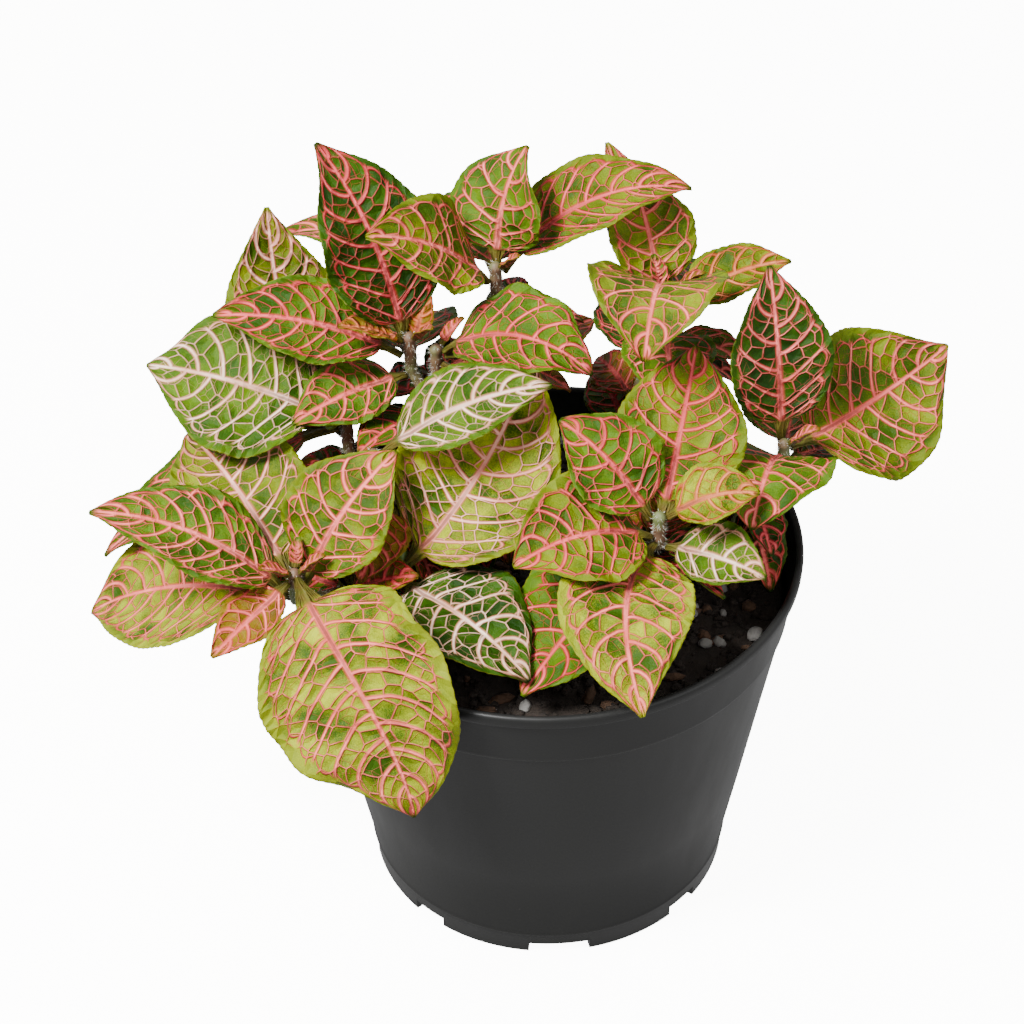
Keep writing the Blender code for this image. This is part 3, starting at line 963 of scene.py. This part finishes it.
def body_radius(z):
    """Outer radius of the tapering body between the foot ridge and the collar."""
    share = (z - FOOT_HEIGHT) / (POT_HEIGHT - COLLAR_HEIGHT - FOOT_HEIGHT)
    return FOOT_RADIUS + share * (COLLAR_RADIUS - 0.6 - FOOT_RADIUS)


def plain_object(name, points, faces, material):
    mesh = bpy.data.meshes.new(name)
    mesh.from_pydata([POT_AXIS + Vector(p) * MM for p in points], [], faces)
    mesh.polygons.foreach_set("use_smooth", [True] * len(mesh.polygons))
    mesh.materials.append(material)
    mesh.update()
    thing = bpy.data.objects.new(name, mesh)
    SHOWN.objects.link(thing)
    return thing


def turned(name, profile, sides, material):
    """Closed solid turned from a profile that starts and ends on the axis."""
    points = [(0, 0, profile[0][1])]
    rings = profile[1:-1]
    for radius, z in rings:
        for i in range(sides):
            a = math.tau * i / sides
            points.append((radius * math.cos(a), radius * math.sin(a), z))
    points.append((0, 0, profile[-1][1]))
    faces = []
    last = len(points) - 1
    top = 1 + (len(rings) - 1) * sides
    for i in range(sides):
        j = (i + 1) % sides
        faces.append((0, 1 + j, 1 + i))
        for low in range(1, top, sides):
            faces.append((low + i, low + j, low + sides + j, low + sides + i))
        faces.append((top + i, top + j, last))
    return plain_object(name, points, faces, material)


def pot_outline():
    """The CAD's half section with rounded lip, collar and foot edges."""
    height, rim, neck = POT_HEIGHT, RIM_RADIUS, COLLAR_RADIUS
    foot, ridge = FOOT_RADIUS, FOOT_HEIGHT
    collar = height - COLLAR_HEIGHT
    lip = height - LIP_HEIGHT
    inner_foot = foot - 0.6 - 2 * WALL
    step = body_radius(collar)
    corner = body_radius(FLOOR_Z + 4) - WALL
    outline = [
        (0, FLOOR_Z),
        (inner_foot - 0.4, FLOOR_Z),
        (inner_foot, FLOOR_Z - 0.4),
        (inner_foot, 0.3),
        (inner_foot + 0.3, 0),
        (foot - 0.9, 0),
        (foot - 0.6, 0.3),
        (foot - 0.5, ridge - 1.3),
        (foot - 0.2, ridge - 0.9),
        (foot + 0.15, ridge - 0.4),
        (foot + 0.15, ridge + 0.1),
        (foot - 0.05, ridge + 0.6),
        (body_radius(30), 30),
        (body_radius(55), 55),
        (step - 0.05, collar - 0.9),
        (step + 0.1, collar - 0.3),
        (neck - 0.15, collar - 0.05),
        (neck, collar + 0.25),
        (neck + 0.05, collar + 0.8),
        (rim - 1.05, lip - 0.6),
        (rim - 0.95, lip - 0.1),
        (rim - 0.35, lip),
        (rim - 0.1, lip + 0.35),
    ]
    for i in range(7):
        a = math.radians(-10 + 200 * i / 6)
        x, z = rim - 0.95 + 0.95 * math.cos(a), height - 0.95 + 0.95 * math.sin(a)
        outline.append((x, z))
    outline += [
        (rim - 2.05, height - 2.2),
        (neck - WALL + 0.1, collar + 1.0),
        (neck - WALL - 0.3, collar - 1.0),
        (corner, FLOOR_Z + WALL + 2),
        (corner - 1.5, FLOOR_Z + WALL),
        (0, FLOOR_Z + WALL),
    ]
    return outline


def prism(name, outline, low, high, material):
    """Upright prism over a flat outline, used as a cutter."""
    size = len(outline)
    points = [(x, y, low) for x, y in outline] + [(x, y, high) for x, y in outline]
    faces = [tuple(reversed(range(size))), tuple(range(size, 2 * size))]
    for i in range(size):
        j = (i + 1) % size
        faces.append((i, j, size + j, size + i))
    return plain_object(name, points, faces, material)


def cut_holes(pot, cutters):
    """Subtract every cutter, keep the result and remove the cutters."""
    for cutter in cutters:
        hole = pot.modifiers.new(cutter.name, "BOOLEAN")
        hole.operation = "DIFFERENCE"
        hole.solver = "EXACT"
        hole.object = cutter
    bpy.context.view_layer.update()
    graph = bpy.context.evaluated_depsgraph_get()
    mesh = bpy.data.meshes.new_from_object(pot.evaluated_get(graph))
    pot.modifiers.clear()
    pot.data = mesh
    for cutter in cutters:
        bpy.data.objects.remove(cutter)


def plastic_material():
    """Near-black moulded plastic with fine grain, faint scuffs and dust."""
    g = Surface("moulded_black_plastic")
    place = g.place()
    scaled = g.node("ShaderNodeMapping", {"Vector": place, "Scale": (1.0, 1.0, 0.25)})
    scuff = g.noise(scaled.outputs[0], 90.0, 5.0, 0.65)
    grain = g.noise(place, 2600.0, 2.0)
    dust = g.noise(place, 420.0, 4.0, 0.7)
    tint = g.mix(scuff, (0.006, 0.006, 0.006), (0.013, 0.013, 0.012))
    specks = g.times(g.ramp(dust, 0.70, 0.80), 0.25)
    tint = g.mix(specks, tint, (0.16, 0.14, 0.12))
    g.paint(tint)
    g.shader["Specular IOR Level"].default_value = 0.30
    rough = g.added(scuff, 0.22, 0.34)
    g.put(g.shader["Roughness"], rough)
    g.bump(grain, 0.00004, 0.5)
    return g.material


def make_pot():
    plastic = plastic_material()
    pot = turned("moulded_pot", pot_outline(), 192, plastic)
    cutters = []
    for i in range(NOTCH_COUNT):
        middle = math.radians(NOTCH_TURN) + math.tau * i / NOTCH_COUNT
        half = math.asin(NOTCH_HALF_WIDTHS[i % 2] / FOOT_RADIUS)
        outline = []
        for radius, ends in ((FOOT_RADIUS + 3, (-half, half)), (36, (half, -half))):
            for turn in ends:
                a = middle + turn
                outline.append((radius * math.cos(a), radius * math.sin(a)))
        sides = (f"notch_{i}", outline, -2, NOTCH_HEIGHT)
        cutters.append(prism(*sides, plastic))
    for i in range(DRAIN_COUNT):
        a = math.radians(DRAIN_TURN) + math.tau * i / DRAIN_COUNT
        x, y = DRAIN_RING * math.cos(a), DRAIN_RING * math.sin(a)
        outline = []
        for k in range(20):
            turn = math.tau * (k + 0.37) / 20
            dx, dy = DRAIN_RADIUS * math.cos(turn), DRAIN_RADIUS * math.sin(turn)
            outline.append((x + dx, y + dy))
        sides = (f"drain_{i}", outline, FLOOR_Z - 2, FLOOR_Z + 4)
        cutters.append(prism(*sides, plastic))
    cut_holes(pot, cutters)
    pot.data.shade_smooth()
    pot.data.set_sharp_from_angle(angle=math.radians(38))
    hand_in(pot, "pot", "black_plastic")


def crumb_material(name, dark, light, roughness, scale):
    g = Surface(name, roughness)
    place = g.place()
    rough_noise = g.noise(place, scale, 5.0, 0.7)
    blotch = g.noise(place, scale * 0.2, 3.0)
    share = g.math("MULTIPLY", rough_noise, g.math("ADD", blotch, 0.5), clamp=True)
    g.paint(g.mix(share, dark, light))
    g.bump(rough_noise, 0.0006, 0.8)
    return g.material


def soil_height(x, y):
    lumps = noise.noise(Vector((x * 0.16, y * 0.16, 3.0))) * 1.2
    crumbs = noise.noise(Vector((x * 0.6, y * 0.6, 8.0))) * 0.6
    return SOIL_TOP - 0.5 + lumps + crumbs


def make_soil_body():
    """Soil fill with a lumpy top that meets the pot's wall."""
    side = WALL + SEAT_GAP
    collar = POT_HEIGHT - COLLAR_HEIGHT
    low = FLOOR_Z + WALL + SEAT_GAP
    top_radius = COLLAR_RADIUS - side - 0.1
    profile = [
        (0, low),
        (body_radius(FLOOR_Z + 4) - side - 2.0, low),
        (top_radius - 0.3, collar),
        (top_radius, SOIL_TOP - 1.5),
    ]
    rings = 60
    profile += [(top_radius * (1 - i / rings), SOIL_TOP) for i in range(1, rings)]
    profile.append((0, SOIL_TOP))
    colours = (0.006, 0.0045, 0.0035), (0.040, 0.027, 0.018)
    peat = crumb_material("peat_mix", *colours, 0.9, 900.0)
    soil = turned("peat_fill", profile, 150, peat)
    for vertex in soil.data.vertices:
        local = (vertex.co - POT_AXIS) / MM
        if local.z > SOIL_TOP - 0.5:
            vertex.co.z = soil_height(local.x, local.y) * MM
    soil.data.update()
    hand_in(soil, "soil", "peat")
    return peat


def lump(dice, size, stretch, sides):
    """Points and faces of one irregular grain round the origin."""
    shape = bmesh.new()
    bmesh.ops.create_icosphere(shape, subdivisions=sides, radius=size / 2)
    turn = Matrix.Rotation(dice.uniform(0, math.tau), 3, "Z")
    tilt = Matrix.Rotation(dice.uniform(-0.8, 0.8), 3, "X")
    seed = Vector((dice.uniform(0, 90), dice.uniform(0, 90), dice.uniform(0, 90)))
    points = []
    for vertex in shape.verts:
        swell = 1 + 0.45 * noise.noise(vertex.co * (2.2 / size) + seed)
        p = Vector((vertex.co.x * stretch, vertex.co.y, vertex.co.z * 0.7)) * swell
        points.append(turn @ (tilt @ p))
    faces = [[v.index for v in f.verts] for f in shape.faces]
    shape.free()
    return points, faces


def scatter(name, material, count, sizes, stretch, dice, detail=1):
    """One mesh of grains strewn over the soil inside the rim."""
    points, faces = [], []
    for _ in range(count):
        radius = STREWN_RADIUS * math.sqrt(dice.random())
        turn = dice.uniform(0, math.tau)
        size = dice.uniform(*sizes)
        x, y = radius * math.cos(turn), radius * math.sin(turn)
        centre = Vector((x, y, soil_height(x, y) + size * 0.12))
        grain, grain_faces = lump(dice, size, dice.uniform(1.0, stretch), detail)
        faces += [[len(points) + v for v in face] for face in grain_faces]
        points += [centre + p for p in grain]
    hand_in(plain_object(name, points, faces, material), "soil", "peat")


def make_soil():
    dice = random.Random(11)
    peat = make_soil_body()
    colours = (0.035, 0.018, 0.010), (0.150, 0.080, 0.042)
    bark = crumb_material("bark_bits", *colours, 0.85, 500.0)
    colours = (0.10, 0.095, 0.088), (0.42, 0.40, 0.37)
    stone = crumb_material("perlite_grains", *colours, 0.8, 350.0)
    scatter("peat_crumbs", peat, 1500, (0.7, 2.6), 1.6, dice)
    scatter("bark_chips", bark, 130, (1.5, 4.0), 2.4, dice)
    scatter("perlite", stone, 90, (1.6, 4.4), 1.2, dice, 2)


def stem_material():
    g = Surface("hairy_stem", 0.6)
    place = g.place()
    long = g.node("ShaderNodeMapping", {"Vector": place, "Scale": (1.0, 1.0, 0.2)})
    streak = g.noise(long.outputs[0], 900.0, 4.0)
    patch = g.noise(place, 110.0, 3.0)
    green = g.mix(streak, (0.060, 0.080, 0.018), (0.170, 0.200, 0.075))
    brown = g.mix(streak, (0.075, 0.035, 0.018), (0.170, 0.095, 0.050))
    g.paint(g.mix(g.ramp(patch, 0.42, 0.60), green, brown))
    g.bump(streak, 0.0003, 0.6)
    return g.material


def hair_material():
    g = Surface("white_hairs", 0.7)
    fuzz = g.noise(g.place(), 300.0, 2.0)
    tint = g.mix(fuzz, (0.55, 0.56, 0.44), (0.80, 0.80, 0.72))
    g.paint(tint)
    return g.material


def make_stems():
    green, white = stem_material(), hair_material()
    dice = random.Random(23)
    for name in STEMS:
        make_stem(name, green, white, dice)


def make_stem(name, green, white, dice):
    """Stem with swollen nodes, a domed tip and fine white hairs."""
    rows = range(STALK_STEPS + 1)
    axis = [stem_point(name, i / STALK_STEPS) for i in rows]
    radii = [STEM_RADIUS * (0.86 + 0.12 * math.cos(i * 0.55) ** 6) for i in rows]
    radii[-1] *= 0.45
    radii[-2] *= 0.8
    points, faces = tube(axis, radii, 14)
    stalk = plain_object(f"stalk_{name}", points, faces, green)
    hand_in(stalk, f"stem_{name}", "stem_green")
    points, faces = [], []
    for _ in range(HAIRS_PER_STEM):
        k = dice.randrange(2, STALK_STEPS)
        turn = dice.uniform(0, math.tau)
        out = Vector((math.cos(turn), math.sin(turn), dice.uniform(-0.4, 0.4)))
        root = axis[k] + out * radii[k] * 0.9
        tip = root + out * dice.uniform(0.5, 1.4)
        tip.z += dice.uniform(-0.3, 0.2)
        flat = Vector((-math.sin(turn), math.cos(turn), 0)) * 0.05
        for face in ((0, 2, 1), (0, 1, 3), (1, 2, 3), (2, 0, 3)):
            faces.append([len(points) + v for v in face])
        points += [root - flat, root + flat, root + Vector((0, 0, 0.09)), tip]
    hairs = plain_object(f"hairs_{name}", points, faces, white)
    hand_in(hairs, f"stem_{name}", "stem_green")


# Camera, light and floor


def make_camera():
    pitch = math.radians(CAMERA_PITCH)
    forward = Vector((0, math.cos(pitch), -math.sin(pitch)))
    right = Vector((1, 0, 0))
    up = Vector((0, math.sin(pitch), math.cos(pitch)))
    roll = math.radians(CAMERA_ROLL)
    side = right * math.cos(roll) + up * math.sin(roll)
    top = up * math.cos(roll) - right * math.sin(roll)
    eye = POT_AXIS + (Vector(CAMERA_TARGET) - forward * CAMERA_DISTANCE) * MM
    camera = bpy.data.objects.new("camera", bpy.data.cameras.new("camera"))
    camera.data.lens = CAMERA_LENS
    camera.data.sensor_width = 36.0
    camera.data.clip_start = 0.01
    turn = Matrix((side, top, -forward)).transposed().to_4x4()
    camera.matrix_world = Matrix.Translation(eye) @ turn
    SHOWN.objects.link(camera)
    bpy.context.scene.camera = camera


def area_light(name, place, size, energy):
    lamp = bpy.data.lights.new(name, "AREA")
    lamp.size = size
    lamp.energy = energy
    thing = bpy.data.objects.new(name, lamp)
    thing.location = POT_AXIS + Vector(place)
    aim = POT_AXIS + Vector((0, 0, 0.1)) - thing.location
    thing.rotation_euler = aim.to_track_quat("-Z", "Y").to_euler()
    SHOWN.objects.link(thing)


def make_studio():
    world = bpy.data.worlds.new("studio")
    bpy.context.scene.world = world
    world.use_nodes = True
    sky = world.node_tree.nodes["Background"]
    sky.inputs["Color"].default_value = (1.0, 1.0, 1.0, 1.0)
    sky.inputs["Strength"].default_value = SKY_STRENGTH
    area_light("key", *KEY_LAMP)
    area_light("fill", *FILL_LAMP)
    g = Surface("pale_floor", 0.8)
    speck = g.noise(g.place(), 60.0, 3.0)
    g.paint(g.mix(speck, (0.86, 0.86, 0.85), (0.9, 0.9, 0.89)))
    mesh = bpy.data.meshes.new("floor")
    shape = bmesh.new()
    bmesh.ops.create_grid(shape, x_segments=8, y_segments=8, size=2.5)
    shape.to_mesh(mesh)
    shape.free()
    mesh.materials.append(g.material)
    g.shader["Emission Color"].default_value = (1.0, 1.0, 0.98, 1.0)
    g.shader["Emission Strength"].default_value = FLOOR_GLOW
    floor = bpy.data.objects.new("floor", mesh)
    floor.visible_diffuse = False
    floor.visible_glossy = False
    floor.location.z = -0.0002
    SHOWN.objects.link(floor)


def check_growth(grown):
    """The leaves must have settled where the CAD's did."""
    for name, (start, shape) in grown.items():
        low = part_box(f"leaf_{name}")[0]
        points, _ = leaf_shell(start, shape, LEAF_THICKNESS / 2)
        for axis in range(3):
            least = min(p[axis] for p in points) * MM + POT_AXIS[axis]
            if abs(least - low[axis]) > 0.0005:
                raise RuntimeError(f"leaf {name} isn't where the CAD has it")


make_camera()
make_studio()
grown_leaves = grow_leaves()
check_growth(grown_leaves)
make_pot()
make_soil()
make_stems()
make_leaves(grown_leaves)
